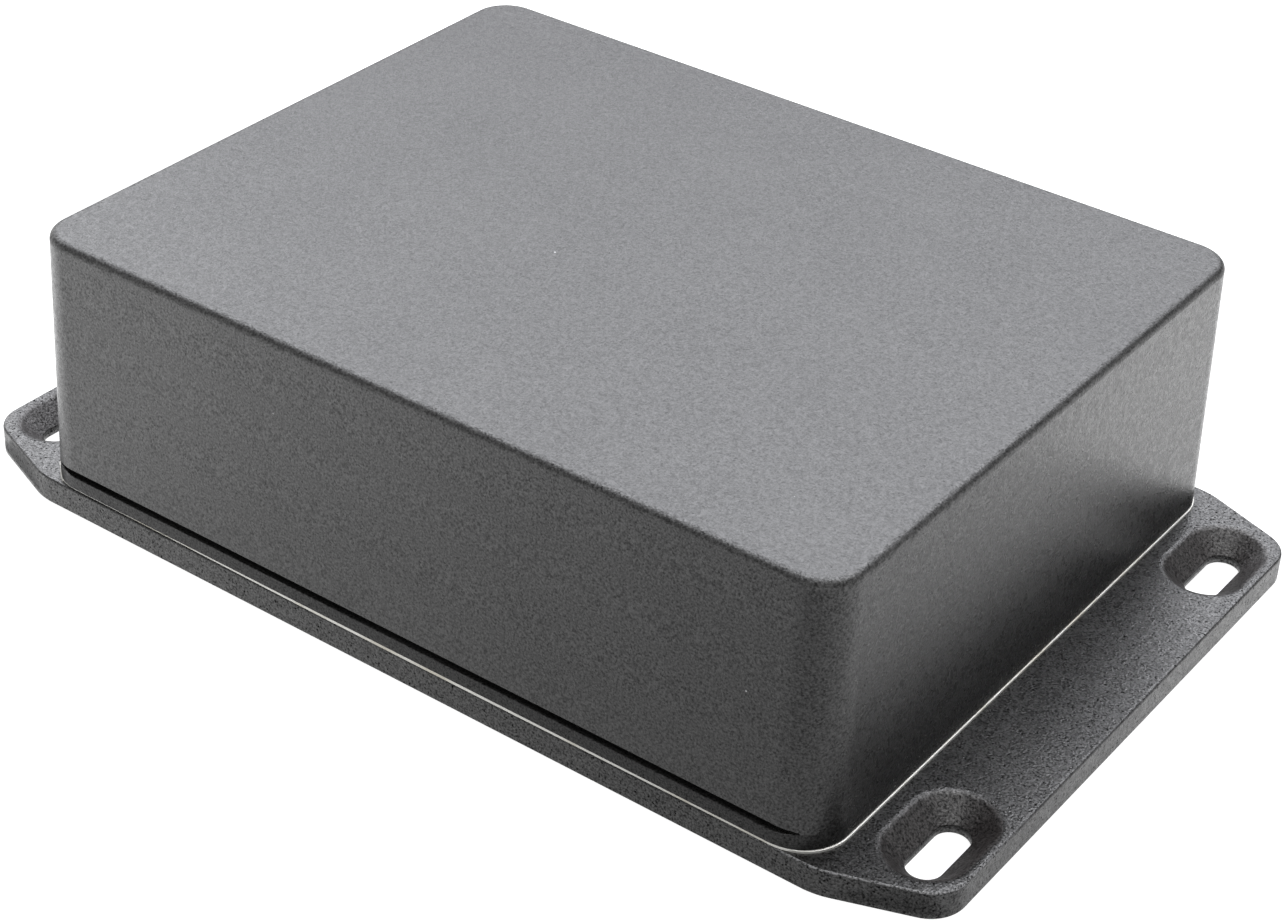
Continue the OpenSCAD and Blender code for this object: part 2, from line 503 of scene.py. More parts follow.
def bored_ring(bm: BMesh, centre: Point, run: float, profile: list[Point], segments: int) -> None:
    """Wall of a hole that is round, or long in Y with round ends.

    Args:
        bm: Mesh that is worked on.
        centre: Middle of the hole.
        run: Distance between the centres of its round ends, 0 for a round hole.
        profile: Radius and height along the wall, from one mouth to the other.
        segments: Number of faces round the hole.
    """
    radius, z = profile[0]
    ring = bmesh.ops.create_circle(bm, cap_ends=False, radius=radius, segments=segments)["verts"]
    half_step = Matrix.Rotation(math.pi / segments, 3, "Z")
    bmesh.ops.rotate(bm, cent=(0, 0, 0), matrix=half_step, verts=ring)
    bmesh.ops.translate(bm, vec=(*centre, z), verts=ring)
    ends = {side: Vector((centre[0], centre[1] + side * run / 2)) for side in (-1, 1)}
    for vert in ring:
        vert.co.y += math.copysign(run / 2, vert.co.y - centre[1])
    edges = list(dict.fromkeys(edge for vert in ring for edge in vert.link_edges))
    for next_radius, next_z in profile[1:]:
        result = bmesh.ops.extrude_edge_only(bm, edges=edges)
        edges = made_parts(result, BMEdge)
        for vert in made_parts(result, BMVert):
            end = ends[1 if vert.co.y > centre[1] else -1]
            flat = end + (vert.co.xy - end) * (next_radius / radius)
            vert.co = (*flat, next_z)
        radius = next_radius


def turned_edge(start: Point, radius: float, first: float, last: float, steps: int) -> list[Point]:
    """Profile of a rounded edge, from one slope of a hole's wall to the next.

    Args:
        start: Radius and height where the round starts.
        radius: Radius of the round.
        first: Slope before the edge: 0 is level and runs inwards, a quarter turn is upright.
        last: Slope after the edge.
        steps: Number of stretches along the round.

    Returns:
        Radius and height of each point, the start included.
    """
    slopes = [first + (last - first) * i / steps for i in range(steps + 1)]
    inwards = [math.sin(slope) - math.sin(first) for slope in slopes]
    down = [math.cos(first) - math.cos(slope) for slope in slopes]
    return [(start[0] - radius * x, start[1] - radius * z) for x, z in zip(inwards, down)]


def object_from(bm: BMesh, name: str) -> Object:
    """Turns a mesh under construction into an object of the scene and frees it.

    Args:
        bm: Finished mesh.
        name: Name of the object and of its data.

    Returns:
        The object.
    """
    mesh = bpy.data.meshes.new(name)
    bm.to_mesh(mesh)
    bm.free()
    made = bpy.data.objects.new(name, mesh)
    bpy.context.scene.collection.objects.link(made)
    return made


def join_solid(piece: Object, addition: Object) -> None:
    """Joins a closed object to a piece and removes it.

    Args:
        piece: Object that is changed.
        addition: Object that is used up.
    """
    modifier = piece.modifiers.new("joint", "BOOLEAN")
    modifier.operation = "UNION"
    modifier.solver = "EXACT"
    modifier.object = addition
    bpy.context.view_layer.update()
    evaluated = piece.evaluated_get(bpy.context.evaluated_depsgraph_get())
    mesh = bpy.data.meshes.new_from_object(evaluated)
    piece.modifiers.clear()
    piece.data = mesh
    bpy.data.objects.remove(addition)


@dataclass(frozen=True)
class LeaningBlock:
    """Block with walls that lean inwards, round corners and a rounded upper edge."""

    size: Point
    low: float
    high: float
    corner_r: float
    lean: float = 0.0
    edge_r: float = 0.0
    corner_steps: int = 14
    edge_steps: int = 6

    def build(self, bm: BMesh) -> None:
        """Builds the block.

        Args:
            bm: Empty mesh.
        """
        height = self.high - self.low
        middle = (self.low + self.high) / 2
        block = bmesh.ops.create_cube(bm, size=1.0)["verts"]
        bmesh.ops.scale(bm, vec=(*self.size, height), verts=block)
        bmesh.ops.translate(bm, vec=(0, 0, middle), verts=block)
        upright = [edge for edge in bm.edges if abs(edge.verts[0].co.z - edge.verts[1].co.z) > height / 2]
        round_edges(bm, upright, self.corner_r, self.corner_steps)
        corner = corner_centre(self.size, self.corner_r)
        share = (self.corner_r - self.lean) / self.corner_r
        for vert in bm.verts:
            if vert.co.z > middle:
                axis = held_within(vert.co, corner)
                vert.co.xy = axis + (vert.co.xy - axis) * share
        if self.edge_r > 0:
            round_edges(bm, level_edges(bm, self.high), self.edge_r, self.edge_steps)

    def line(self, bm: BMesh) -> None:
        """Adds the block inside out, as the lining of a hollow.

        Args:
            bm: Mesh that gets the hollow.
        """
        inner = bmesh.new()
        self.build(inner)
        bmesh.ops.reverse_faces(inner, faces=inner.faces[:])
        lining = bpy.data.meshes.new("lining")
        inner.to_mesh(lining)
        inner.free()
        bm.from_mesh(lining)
        bpy.data.meshes.remove(lining)


# Pieces


class Piece(ABC):
    """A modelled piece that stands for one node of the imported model."""

    node: str
    slot: Slot
    smooth_below: float = math.radians(38)

    @abstractmethod
    def shape(self, bm: BMesh) -> None:
        """Builds the piece's mesh."""

    @abstractmethod
    def finishes(self) -> list[Material]:
        """Materials of the piece, in the order of its faces' material numbers."""

    def refine(self, piece: Object) -> None:
        """Finishes the object after its mesh is made. Most pieces need nothing here."""

    def make(self) -> Object:
        """Builds, dresses and seats the piece.

        Returns:
            The finished object.
        """
        bm = bmesh.new()
        self.shape(bm)
        bmesh.ops.recalc_face_normals(bm, faces=bm.faces[:])
        piece = object_from(bm, f"{self.node}_piece")
        for material in self.finishes():
            piece.data.materials.append(material)
        self.refine(piece)
        piece.data.shade_smooth()
        piece.data.set_sharp_from_angle(angle=self.smooth_below)
        weighted = piece.modifiers.new("even_normals", "WEIGHTED_NORMAL")
        weighted.keep_sharp = True
        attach(piece, "root")
        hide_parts(self.node)
        return piece


@dataclass
class BoxCasting(Piece):
    """Five-sided box with leaning walls, a relief groove above its rim and screw posts inside."""

    node: str = "box"
    slot: Slot = Slot.BOX
    corner_r: float = RIM_CORNER_R
    wall_lean: float = 1.184 * MM
    top_edge_r: float = 1.0 * MM
    wall: float = WALL
    cavity_corner_r: float = HOLLOW_CORNER_R
    cavity_lean: float = 1 * MM
    roof_r: float = 2 * MM
    groove_low: float = 1.75 * MM
    groove_high: float = 2.65 * MM
    groove_depth: float = 1.1 * MM
    groove_lip: float = 0.14 * MM
    groove_lip_steps: int = 2
    groove_close: float = 0.75
    strip_turn: float = 0.55
    post_r: float = 4.2 * MM
    post_inset: float = 6.4 * MM
    post_gap: float = 0.02 * MM
    hole_r: float = 1.8 * MM
    hole_depth: float = 10.05 * MM
    hole_chamfer: float = 0.6 * MM

    def __post_init__(self) -> None:
        """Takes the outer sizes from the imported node."""
        low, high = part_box(self.node)
        self.size: Point = (high.x - low.x, high.y - low.y)
        self.rim_z, self.top_z = low.z, high.z

    def shape(self, bm: BMesh) -> None:
        """Builds the shell: outer walls, grooves, cavity and rim.

        Args:
            bm: Empty mesh.
        """
        outer = LeaningBlock(
            self.size, self.rim_z, self.top_z, self.corner_r, self.wall_lean, self.top_edge_r
        )
        outer.build(bm)
        for face in bm.faces:
            depth = self.top_z - face.calc_center_median().z
            if depth < self.top_edge_r:
                face.material_index = BoxZone.TOP if depth < WELD else BoxZone.TOP_EDGE
        self.cut_grooves(bm)
        self.hollow(bm)

    def cut_grooves(self, bm: BMesh) -> None:
        """Cuts a straight groove with a flat floor into both long walls.

        Args:
            bm: Mesh of the outer walls.
        """
        low, high = self.rim_z + self.groove_low, self.rim_z + self.groove_high
        floor_y = self.size[1] / 2 - self.groove_depth
        for z in (low, high):
            cut_level(bm, z)
        for side in (-1, 1):
            band = [face for face in bm.faces if low < face.calc_center_median().z < high]
            parts = dict.fromkeys(part for face in band for part in (*face.edges, *face.verts, face))
            bmesh.ops.bisect_plane(
                bm, geom=list(parts), dist=WELD, plane_co=(0, side * floor_y, 0), plane_no=(0, 1, 0)
            )
        cut = [
            face for face in bm.faces
            if low < face.calc_center_median().z < high and abs(face.calc_center_median().y) > floor_y
        ]
        result = bmesh.ops.extrude_face_region(bm, geom=cut)
        bmesh.ops.delete(bm, geom=[face for face in cut if face.is_valid], context="FACES_ONLY")
        for vert in made_parts(result, BMVert):
            vert.co.y = math.copysign(floor_y, vert.co.y)
        bmesh.ops.remove_doubles(bm, verts=bm.verts[:], dist=WELD)
        mouth = [
            edge for z in (low, high) for edge in level_edges(bm, z)
            if all(abs(vert.co.y) > floor_y + self.groove_lip for vert in edge.verts)
            and abs(edge.verts[0].co.x - edge.verts[1].co.x) > WELD
        ]
        round_edges(bm, mouth, self.groove_lip, self.groove_lip_steps)
        self.close_groove_ends(bm, low, high, floor_y)
        strip_y = self.size[1] / 2 - self.corner_r * (1 - self.strip_turn)
        for face in bm.faces:
            centre = face.calc_center_median()
            if self.rim_z + WELD < centre.z < low and abs(centre.y) > strip_y:
                face.material_index = BoxZone.RIM_STRIP

    def close_groove_ends(self, bm: BMesh, low: float, high: float, floor_y: float) -> None:
        """Makes the grooves narrower where they run out in the round corners.

        Args:
            bm: Mesh that is worked on.
            low: Height of the groove's lower side.
            high: Height of its upper side.
            floor_y: Distance of its floor from the middle.
        """
        corner = corner_centre(self.size, self.corner_r)
        length = math.sqrt(self.corner_r ** 2 - (floor_y - corner.y) ** 2)
        middle = (low + high) / 2
        for vert in bm.verts:
            beyond = abs(vert.co.x) - corner.x
            if low - self.groove_lip < vert.co.z < high + self.groove_lip and beyond > 0:
                share = min(1.0, beyond / length)
                vert.co.z = middle + (vert.co.z - middle) * (1 - self.groove_close * share)

    def hollow(self, bm: BMesh) -> None:
        """Opens the underside and adds the cavity and the flat rim between the two.

        Args:
            bm: Mesh of the outer walls.
        """
        size = (self.size[0] - 2 * self.wall, self.size[1] - 2 * self.wall)
        cavity = LeaningBlock(
            size, self.rim_z, self.top_z - self.wall, self.cavity_corner_r, self.cavity_lean, self.roof_r
        )
        cavity.line(bm)
        underside = [face for face in bm.faces if abs(face.calc_center_median().z - self.rim_z) < WELD]
        bmesh.ops.delete(bm, geom=underside, context="FACES_ONLY")
        bmesh.ops.bridge_loops(bm, edges=open_edges(bm, self.rim_z))

    def refine(self, piece: Object) -> None:
        """Joins the four screw posts to the inside of the shell."""
        for sx, sy in CORNERS:
            join_solid(piece, self.post(sx, sy))

    def post(self, sx: int, sy: int) -> Object:
        """Post with a blind cored hole.

        Args:
            sx: Side of the box along X, -1 or 1.
            sy: Side of the box along Y, -1 or 1.

        Returns:
            The post as a closed object.
        """
        bm = bmesh.new()
        centre = (sx * (self.size[0] / 2 - self.post_inset), sy * (self.size[1] / 2 - self.post_inset))
        foot = self.rim_z + self.post_gap
        end = foot + self.hole_depth
        head = self.top_z - self.wall / 2
        hole = [
            (self.hole_r, foot),
            (self.hole_r, end - self.hole_chamfer),
            (self.hole_r - self.hole_chamfer, end),
        ]
        for profile in ([(self.post_r, head), (self.post_r, foot)], hole):
            bored_ring(bm, centre, 0.0, profile, HOLE_STEPS)
        for z, up in ((head, True), (end, False), (foot, False)):
            fill_flat(bm, z, up)
        bmesh.ops.recalc_face_normals(bm, faces=bm.faces[:])
        return object_from(bm, "post")

    def finishes(self) -> list[Material]:
        """The coats of the box's zones: the strip under the grooves is duller, the top's edge rougher.

        Returns:
            The materials in the order of the zones.
        """
        coats = {
            BoxZone.WALL: PowderCoat("wall_powder_coat", roughness=(0.24, 0.36)),
            # Lower gloss makes the strip under the grooves darker than the wall above.
            BoxZone.RIM_STRIP: PowderCoat("rim_powder_coat", gloss=(0.13, 0.52)),
            BoxZone.TOP: PowderCoat("top_powder_coat", gloss=(0.53, 0.83)),
            BoxZone.TOP_EDGE: PowderCoat("edge_powder_coat", roughness=(0.42, 0.56), gloss=(0.36, 1.16)),
        }
        return [coats[zone].material() for zone in BoxZone]


@dataclass
class FlangedLid(Piece):
    """Flat lid that runs out as a mounting flange at both ends, with dished slots and locating ribs."""

    node: str = "flanged_lid"
    slot: Slot = Slot.LID
    thickness: float = 3.7 * MM
    top_edge_r: float = 0.3 * MM
    top_edge_steps: int = 4
    low_edge_r: float = 0.08 * MM
    low_edge_steps: int = 2
    wear_and_highlight_tilt: Span = (0.3, 0.9)
    wear_and_highlight_corner: Place = (66 * MM, -44 * MM, 3.7 * MM)
    bend_r: float = 10 * MM
    bend_x: float = 58.2 * MM
    tip_r: float = 5 * MM
    side_len: float = 9.625 * MM
    side_normal: Point = (0.352, 0.936)
    arc_steps: int = 14
    slot_centre: Point = (67.6 * MM, 33.6 * MM)
    slot_run: float = 5.9 * MM
    slot_r: float = 2.2 * MM
    slot_steps: int = 64
    slot_edge_r: float = 0.25 * MM
    slot_edge_steps: int = 3
    slot_foot_r: float = 0.08 * MM
    slot_foot_steps: int = 2
    dish_r: float = 5.2 * MM
    dish_depth: float = 2.6 * MM
    dish_lip: float = 1.6 * MM
    dish_lip_steps: int = 6
    dish_coat_from: int = 2
    screw_place: Point = SCREW_PLACE
    screw_hole_r: float = 1.95 * MM
    countersink_r: float = 3.55 * MM
    rib_top: float = 6.5 * MM
    rib_thickness: float = 2 * MM
    rib_taper: float = 0.4 * MM
    rib_face: Point = (56.7 * MM, 43.8 * MM)
    rib_half: Point = (48.4 * MM, 35.5 * MM)

    def __post_init__(self) -> None:
        """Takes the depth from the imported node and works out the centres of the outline's arcs."""
        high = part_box(self.node)[1]
        normal = Vector(self.side_normal)
        along = Vector((normal.y, -normal.x))
        self.bend_centre = Vector((self.bend_x, high.y - self.bend_r))
        self.tip_centre = self.bend_centre + (self.bend_r - self.tip_r) * normal + self.side_len * along

    def shape(self, bm: BMesh) -> None:
        """Builds the plate with all its holes and ribs as one closed mesh.

        Args:
            bm: Empty mesh.
        """
        self.plate(bm)
        for sx, sy in CORNERS:
            self.dished_slot(bm, (sx * self.slot_centre[0], sy * self.slot_centre[1]))
            self.screw_hole(bm, (sx * self.screw_place[0], sy * self.screw_place[1]))
        inner_x = self.rib_face[0] - self.rib_thickness / 2
        inner_y = self.rib_face[1] - self.rib_thickness / 2
        for side in (-1, 1):
            self.rib(bm, (0.0, side * inner_y), (2 * self.rib_half[0], self.rib_thickness))
            self.rib(bm, (side * inner_x, 0.0), (self.rib_thickness, 2 * self.rib_half[1]))
        fill_flat(bm, self.thickness, True)
        fill_flat(bm, 0.0, False)

    def outline(self, bm: BMesh) -> list[BMEdge]:
        """Closed outline of the plate at the height of its underside.

        Args:
            bm: Empty mesh.

        Returns:
            The outline's edges.
        """
        side = math.atan2(self.side_normal[1], self.side_normal[0])
        arcs = [
            (self.tip_centre, self.tip_r, 0.0, side),
            (self.bend_centre, self.bend_r, side, math.pi / 2),
        ]
        starts, ends = [], []
        for sx, sy in ((1, 1), (-1, 1), (-1, -1), (1, -1)):
            forwards = sx == sy
            for centre, radius, first, last in (arcs if forwards else reversed(arcs)):
                angle = first if forwards else last
                hub = Vector((sx * centre.x, sy * centre.y, 0.0))
                arm = Vector((sx * math.cos(angle), sy * math.sin(angle), 0.0))
                start = bm.verts.new(hub + radius * arm)
                result = bmesh.ops.spin(
                    bm, geom=[start], cent=hub, axis=(0, 0, 1), dvec=(0, 0, 0),
                    angle=abs(last - first), steps=self.arc_steps, use_merge=False,
                )
                starts.append(start)
                ends.append(made_parts(result, BMVert)[0])
        for end, start in zip(ends, starts[1:] + starts[:1]):
            bm.edges.new((end, start))
        return bm.edges[:]

    def plate(self, bm: BMesh) -> None:
        """Rim of the plate with rounded edges, open above and below.

        Args:
            bm: Empty mesh.
        """
        base = bmesh.ops.contextual_create(bm, geom=self.outline(bm))["faces"]
        result = bmesh.ops.extrude_face_region(bm, geom=base)
        bmesh.ops.translate(bm, vec=(0, 0, self.thickness), verts=made_parts(result, BMVert))
        # The middle of the upper edge's round gets pale patches, partly wear and partly a painted highlight,
        # most near one front corner.
        flat, steep = self.wear_and_highlight_tilt
        for face in round_edges(bm, level_edges(bm, self.thickness), self.top_edge_r, self.top_edge_steps):
            face.normal_update()
            if flat < abs(face.normal.z) < steep:
                face.material_index = LidZone.WORN_EDGE
        round_edges(bm, level_edges(bm, 0.0), self.low_edge_r, self.low_edge_steps)
        caps = [face for face in bm.faces if len(face.verts) > 4]
        bmesh.ops.delete(bm, geom=caps, context="FACES_ONLY")

    def dished_slot(self, bm: BMesh, centre: Point) -> None:
        """Long hole with a sloping dish round its upper mouth.

        Args:
            bm: Mesh that is worked on.
            centre: Middle of the slot.
        """
        upright = math.pi / 2
        foot_z = self.thickness - self.dish_depth
        slope = math.atan2(self.dish_depth, self.dish_r - self.slot_r)
        lip_reach = self.dish_lip * math.tan(slope / 2)
        foot_reach = self.slot_edge_r * math.tan((upright - slope) / 2)
        mouth = (self.dish_r + lip_reach, self.thickness)
        foot = (self.slot_r + foot_reach * math.cos(slope), foot_z + foot_reach * math.sin(slope))
        under = (self.slot_r, self.slot_foot_r)
        lip = turned_edge(mouth, self.dish_lip, 0.0, slope, self.dish_lip_steps)
        profile = lip + turned_edge(foot, self.slot_edge_r, slope, upright, self.slot_edge_steps)
        profile += turned_edge(under, self.slot_foot_r, upright, math.pi, self.slot_foot_steps)
        before = set(bm.faces)
        bored_ring(bm, centre, self.slot_run, profile, self.slot_steps)
        for face in set(bm.faces) - before:
            if foot_z < face.calc_center_median().z < lip[self.dish_coat_from][1]:
                face.material_index = LidZone.DISH

    def screw_hole(self, bm: BMesh, centre: Point) -> None:
        """Countersunk hole for a lid screw, from the underside.

        Args:
            bm: Mesh that is worked on.
            centre: Middle of the hole.
        """
        profile = [
            (self.screw_hole_r, self.thickness),
            (self.screw_hole_r, self.countersink_r - self.screw_hole_r),
            (self.countersink_r, 0.0),
        ]
        bored_ring(bm, centre, 0.0, profile, HOLE_STEPS)

    def rib(self, bm: BMesh, centre: Point, size: Point) -> None:
        """Locating rib that rises from the plate, a little narrower at its top.

        Args:
            bm: Mesh that is worked on.
            centre: Middle of the rib.
            size: Its width and depth at the foot.
        """
        flat = bmesh.ops.create_grid(bm, x_segments=1, y_segments=1, size=0.5)["verts"]
        bmesh.ops.scale(bm, vec=(*size, 1.0), verts=flat)
        bmesh.ops.translate(bm, vec=(*centre, self.thickness), verts=flat)
        foot = list({face for vert in flat for face in vert.link_faces})
        top = made_parts(bmesh.ops.extrude_face_region(bm, geom=foot), BMVert)
        bmesh.ops.translate(bm, vec=(0, 0, self.rib_top - self.thickness), verts=top)
        for vert in top:
            for i in (0, 1):
                vert.co[i] -= math.copysign(self.rib_taper / 2, vert.co[i] - centre[i])
        bmesh.ops.delete(bm, geom=[face for face in foot if face.is_valid], context="FACES_ONLY")

    def finishes(self) -> list[Material]:
        """The coats of the lid's zones: pale patches on the upper edge, partly wear and partly a painted
        highlight, and a lighter, warmer, glossier coat in the dishes.

        Returns:
            The materials in the order of the zones.
        """
        coats = {
            LidZone.PLATE: PowderCoat("lid_powder_coat", roughness=(0.24, 0.36), gloss=(0.0, 1.18)),
            LidZone.WORN_EDGE: PowderCoat("lid_wear_and_highlight_edge", wear_and_highlight=0.45, wear_and_highlight_place=self.wear_and_highlight_corner),
            # The dishes get a lighter, warmer and glossier coat than the plate.
            LidZone.DISH: PowderCoat(
                "dish_powder_coat", body=(0.005, 0.0044, 0.0043), pale=(0.042, 0.0365, 0.0355),
                grain=0.3 * MM, roughness=(0.36, 0.52), gloss=(0.20, 1.45),
            ),
        }
        return [coats[zone].material() for zone in LidZone]


@dataclass
class RimSeal(Piece):
    """Thin pale seal that is pressed between the rim of the box and the lid."""

    node: str = "seal"
    slot: Slot = Slot.SEAL
    corner_r: float = RIM_CORNER_R
    width: float = WALL
    inner_corner_r: float = HOLLOW_CORNER_R
    sink: Point = (0.30 * MM, 0.12 * MM)
    bow: float = 1.0
    proud: float = 0.14 * MM
    slope_foot: float = 0.3 * MM
    tuck: float = 0.05 * MM
    turn: int = 8
    bow_steps: int = 32
    bead_corner: tuple[int, int] = (-1, -1)
    bead_span: Span = (math.radians(27), math.radians(64))
    bead_rise: float = 1.6 * MM
    bead_depth: float = 0.1 * MM
    bead_proud: float = 0.1 * MM
    bead_end: float = 0.08
    bead_steps: int = 14

    def shape(self, bm: BMesh) -> None:
        """Builds the ring from its outer and its inner wall.

        Args:
            bm: Empty mesh.
        """
        low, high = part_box(self.node)
        size = (high.x - low.x, high.y - low.y)
        hole = (size[0] - 2 * self.width, size[1] - 2 * self.width)
        LeaningBlock(size, low.z, high.z, self.corner_r).build(bm)
        self.press_edge(bm, size, low.z)
        LeaningBlock(hole, low.z, high.z, self.inner_corner_r).line(bm)
        caps = [face for face in bm.faces if abs(face.normal.z) > LEVEL_NORMAL]
        bmesh.ops.delete(bm, geom=caps, context="FACES")
        for z in (low.z, high.z):
            bmesh.ops.bridge_loops(bm, edges=open_edges(bm, z))
        # Pale bead at one corner: a painted highlight.
        self.painted_highlight_bead(bm, size, low.z)

    def press_edge(self, bm: BMesh, size: Point, low: float) -> None:
        """Draws the outer wall in towards the ends of the long sides and squeezes it out at the short ones.

        Args:
            bm: Mesh with the outer wall only.
            size: Width and depth of the ring.
            low: Height of the ring's underside.
        """
        slope_z = low + self.slope_foot
        cut_level(bm, slope_z)
        corner = corner_centre(size, self.corner_r)
        long_edges = [edge for edge in bm.edges if abs(edge.verts[0].co.x - edge.verts[1].co.x) > corner.x]
        bmesh.ops.subdivide_edges(bm, edges=long_edges, cuts=self.bow_steps - 1, use_grid_fill=True)
        for vert in bm.verts:
            axis = held_within(vert.co, corner)
            outward = (vert.co.xy - axis).normalized()
            middle = math.cos(math.pi / 2 * axis.x / corner.x) ** 2
            straight = outward.y ** self.turn
            sink = self.sink[0 if axis.x < 0 else 1]
            squeezed = -self.tuck if vert.co.z > slope_z + WELD else self.proud
            out = squeezed * (1 - straight) - sink * straight * (1 - self.bow * middle)
            vert.co.xy += outward * out

    def painted_highlight_bead(self, bm: BMesh, size: Point, low: float) -> None:
        """Thin pale bead of seal material up one corner of the rim, a painted highlight.

        Args:
            bm: Mesh that is worked on.
            size: Width and depth of the ring.
            low: Height of the bead's foot.
        """
        sx, sy = self.bead_corner
        corner = corner_centre(size, self.corner_r)
        hub = Vector((sx * corner.x, sy * corner.y, 0.0))
        first, last = self.bead_span
        arm = Vector((sx * math.sin(first), sy * math.cos(first), 0.0))
        inside, outside = self.corner_r - self.bead_depth, self.corner_r + self.bead_proud
        section = [(inside, 0.0), (outside, 0.0), (outside - self.bead_proud / 2, 1.0), (inside, 1.0)]
        places = [hub + r * arm + Vector((0, 0, rise)) for r, rise in section]
        for vert in swept_bar(bm, places, hub, -sx * sy * (last - first), self.bead_steps):
            offset = vert.co - hub
            turn = math.atan2(abs(offset.x), abs(offset.y))
            swell = max(self.bead_end, math.sin(math.pi * (turn - first) / (last - first)))
            vert.co.z = low + vert.co.z * swell * self.bead_rise

    def finishes(self) -> list[Material]:
        """The seal's own material."""
        return [PaleSeal("pale_seal").material()]


@dataclass
class LidScrews(Piece):
    """Four countersunk screws with a cross recess, heads down."""

    node: str = "lid_screws"
    slot: Slot = Slot.SCREWS
    place: Point = SCREW_PLACE
    head_r: float = 3.4 * MM
    head_edge: float = 0.15 * MM
    core_r: float = 1.32 * MM
    thread_r: float = 1.74 * MM
    thread_root: float = 0.05 * MM
    thread_pitch: float = 1.3 * MM
    thread_foot: float = 0.42 * MM
    point: float = 0.7 * MM
    recess_half: Point = (1.9 * MM, 0.5 * MM)
    recess_depth: float = 1.3 * MM
    recess_close: float = 0.45
    steps: int = 40

    def shape(self, bm: BMesh) -> None:
        """Builds all four screws.

        Args:
            bm: Empty mesh.
        """
        low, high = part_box(self.node)
        for sx, sy in CORNERS:
            centre = Vector((sx * self.place[0], sy * self.place[1], 0.0))
            self.turned_body(bm, centre, low.z, high.z)
            self.recess(bm, centre, low.z)
            self.thread(bm, centre, low.z, high.z)
        fill_flat(bm, low.z, False)

    def turned_body(self, bm: BMesh, centre: Vector, low: float, high: float) -> None:
        """Head cone, core and point, turned about the screw's axis.

        Args:
            bm: Mesh that is worked on.
            centre: Point on the axis.
            low: Height of the head's face.
            high: Height of the point.
        """
        neck = low + self.head_edge + self.head_r - self.core_r
        profile = [
            (self.head_r, low),
            (self.head_r, low + self.head_edge),
            (self.core_r, neck),
            (self.core_r, high - self.point),
            (self.core_r - self.point, high),
        ]
        bored_ring(bm, (centre.x, centre.y), 0.0, profile, self.steps)
        fill_flat(bm, high, True)

    def recess(self, bm: BMesh, centre: Vector, low: float) -> None:
        """Cross recess that narrows towards its bottom.

        Args:
            bm: Mesh that is worked on.
            centre: Point on the axis.
            low: Height of the head's face.
        """
        long, short = self.recess_half
        corner = [Vector((long, -short, 0)), Vector((long, short, 0)), Vector((short, short, 0))]
        turns = [Matrix.Rotation(math.pi / 2 * i, 3, "Z") for i in range(4)]
        mouth = centre + Vector((0, 0, low))
        edges = closed_loop(bm, [mouth + turn @ point for turn in turns for point in corner])[1]
        result = bmesh.ops.extrude_edge_only(bm, edges=edges)
        bottom = made_parts(result, BMVert)
        about_centre = Matrix.Translation(-centre)
        bmesh.ops.scale(bm, vec=(self.recess_close, self.recess_close, 1.0), space=about_centre, verts=bottom)
        bmesh.ops.translate(bm, vec=(0, 0, self.recess_depth), verts=bottom)
        bmesh.ops.contextual_create(bm, geom=made_parts(result, BMEdge))

    def thread(self, bm: BMesh, centre: Vector, low: float, high: float) -> None:
        """Ridge of the thread, wound up the core.

        Args:
            bm: Mesh that is worked on.
            centre: Point on the axis.
            low: Height of the head's face.
            high: Height of the point.
        """
        start = low + self.head_r
        foot = self.thread_foot
        turns = math.floor((high - self.point - foot - start) / self.thread_pitch)
        inside = self.core_r - self.thread_root
        section = [(inside, start), (self.thread_r, start + foot / 2), (inside, start + foot)]
        places = [centre + Vector((r, 0, z)) for r, z in section]
        climb = self.thread_pitch / self.steps
        swept_bar(bm, places, centre, math.tau * turns, self.steps * turns, climb)

    def finishes(self) -> list[Material]:
        """The screws' plating."""
        return [PlatedSteel("plated_steel").material()]


# Stage


@dataclass(frozen=True)
class PhotoCamera:
    """Camera at the photograph's place, found from the object's straight edges."""

    azimuth: float = math.radians(35.555)
    elevation: float = math.radians(33.614)
    roll: float = math.radians(2.321)
    distance: float = 360.16 * MM
    pan: Point = (-2.434 * MM, 2.802 * MM)
    aim_z: float = 3.9 * MM
    focal_px: float = 2764.3
    principal_x_px: float = 610.9
    image_px: tuple[int, int] = (1288, 920)
    sensor: float = 36.0
    clip: Span = (0.01, 50.0)

    def make(self) -> Object:
        """Adds the camera and makes it the scene's own.

        Returns:
            The camera object.
        """
        width = self.image_px[0]
        data = bpy.data.cameras.new("photo_camera")
        data.sensor_width = self.sensor
        data.lens = self.focal_px / width * self.sensor
        data.shift_x = (width / 2 - self.principal_x_px) / width
        data.clip_start, data.clip_end = self.clip
        camera = bpy.data.objects.new("photo_camera", data)
        bpy.context.scene.collection.objects.link(camera)
        a, e = self.azimuth, self.elevation
        back = Vector((math.sin(a) * math.cos(e), -math.cos(a) * math.cos(e), math.sin(e)))
        level = Vector((math.cos(a), math.sin(a), 0.0))
        rise = back.cross(level)
        right = math.cos(self.roll) * level + math.sin(self.roll) * rise
        up = math.cos(self.roll) * rise - math.sin(self.roll) * level
        aim = Vector((0.0, 0.0, self.aim_z))
        place = aim + back * self.distance + right * self.pan[0] + up * self.pan[1]
        turn = Matrix((right, up, back)).transposed().to_4x4()
        camera.matrix_world = Matrix.Translation(place) @ turn
        bpy.context.scene.camera = camera
        return camera


@dataclass(frozen=True)
class Panel:
    """Soft square lamp that looks at the object."""

    name: str
    place: Place
    size: float
    power: float
    colour: Colour = (1.0, 1.0, 1.0)

    def make(self) -> Object:
        """Adds the lamp.

        Returns:
            The lamp object.
        """
        data = bpy.data.lights.new(self.name, "AREA")
        data.shape = "SQUARE"
        data.size = self.size
        data.energy = self.power
        data.color = self.colour
        lamp = bpy.data.objects.new(self.name, data)
        lamp.location = self.place
        lamp.rotation_euler = (-Vector(self.place)).to_track_quat("-Z", "Y").to_euler()
        bpy.context.scene.collection.objects.link(lamp)
        return lamp


